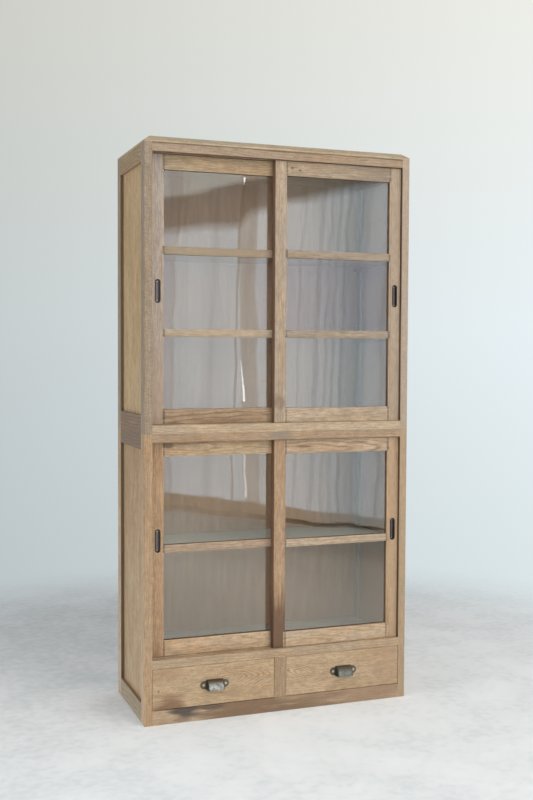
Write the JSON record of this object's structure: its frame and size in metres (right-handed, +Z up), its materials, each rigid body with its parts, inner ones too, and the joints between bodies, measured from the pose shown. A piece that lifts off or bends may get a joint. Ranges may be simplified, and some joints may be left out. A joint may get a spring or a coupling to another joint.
{
  "type": "kitchen cabinet",
  "caption": "Tall oak kitchen cabinet in stacked upper and lower cases, with sliding glazed doors in grooves, inner shelves and shallow drawers at the foot.",
  "frame": {"origin": "on the floor, midway between the sides and midway between the drawer pulls and the back", "axes": "+Z up, +X to the right of someone facing the cabinet, -Y towards them"},
  "size_m": [0.9, 0.394, 1.82],
  "materials": {
    "oak": "bare brushed oak, greyed with age",
    "inner_board": "planed softwood board",
    "glass": "old drawn sheet glass",
    "black_iron": "black lacquered iron",
    "worn_metal": "worn grey casting"
  },
  "bodies": {
    "case": {"top_board": "oak", "upper_posts": "oak", "lower_posts": "oak", "upper_side_rails": "oak", "lower_side_rails": "oak", "upper_side_panels": "oak", "lower_side_panels": "oak", "upper_head_rail": "oak", "lower_head_rail": "oak", "upper_sill": "oak", "lower_sill": "oak", "base_rail": "oak", "drawer_divider": "oak", "upper_floor_board": "inner_board", "lower_floor_board": "inner_board", "lower_top_board": "inner_board", "back_panels": "inner_board", "back_rails": "inner_board", "shelves": "inner_board", "shelf_cleats": "inner_board", "drawer_runners": "inner_board", "deck_bearers": "inner_board"},
    "upper_left_door": {"upper_left_door_stiles": "oak", "upper_left_door_top_rail": "oak", "upper_left_door_foot_rail": "oak", "upper_left_door_bars": "oak", "upper_left_door_panes": "glass", "upper_left_door_beads": "oak", "upper_left_door_pull": "black_iron"},
    "upper_right_door": {"upper_right_door_stiles": "oak", "upper_right_door_top_rail": "oak", "upper_right_door_foot_rail": "oak", "upper_right_door_bars": "oak", "upper_right_door_panes": "glass", "upper_right_door_beads": "oak", "upper_right_door_pull": "black_iron"},
    "lower_left_door": {"lower_left_door_stiles": "oak", "lower_left_door_top_rail": "oak", "lower_left_door_foot_rail": "oak", "lower_left_door_bars": "oak", "lower_left_door_panes": "glass", "lower_left_door_beads": "oak", "lower_left_door_pull": "black_iron"},
    "lower_right_door": {"lower_right_door_stiles": "oak", "lower_right_door_top_rail": "oak", "lower_right_door_foot_rail": "oak", "lower_right_door_bars": "oak", "lower_right_door_panes": "glass", "lower_right_door_beads": "oak", "lower_right_door_pull": "black_iron"},
    "left_drawer": {"left_drawer_front": "oak", "left_drawer_sides": "inner_board", "left_drawer_back": "inner_board", "left_drawer_bottom": "inner_board", "left_drawer_pull": "worn_metal"},
    "right_drawer": {"right_drawer_front": "oak", "right_drawer_sides": "inner_board", "right_drawer_back": "inner_board", "right_drawer_bottom": "inner_board", "right_drawer_pull": "worn_metal"}
  },
  "joints": [
    {"name": "upper_left_door_slide", "type": "slide", "parent": "case", "child": "upper_left_door", "axis": [1, 0, 0], "range_m": [-0.007, 0.398]},
    {"name": "upper_right_door_slide", "type": "slide", "parent": "case", "child": "upper_right_door", "axis": [1, 0, 0], "range_m": [-0.405, 0]},
    {"name": "lower_left_door_slide", "type": "slide", "parent": "case", "child": "lower_left_door", "axis": [1, 0, 0], "range_m": [-0.007, 0.398]},
    {"name": "lower_right_door_slide", "type": "slide", "parent": "case", "child": "lower_right_door", "axis": [1, 0, 0], "range_m": [-0.405, 0]},
    {"name": "left_drawer_slide", "type": "slide", "parent": "case", "child": "left_drawer", "axis": [0, -1, 0], "range_m": [0, 0.27]},
    {"name": "right_drawer_slide", "type": "slide", "parent": "case", "child": "right_drawer", "axis": [0, -1, 0], "range_m": [0, 0.27]}
  ]
}
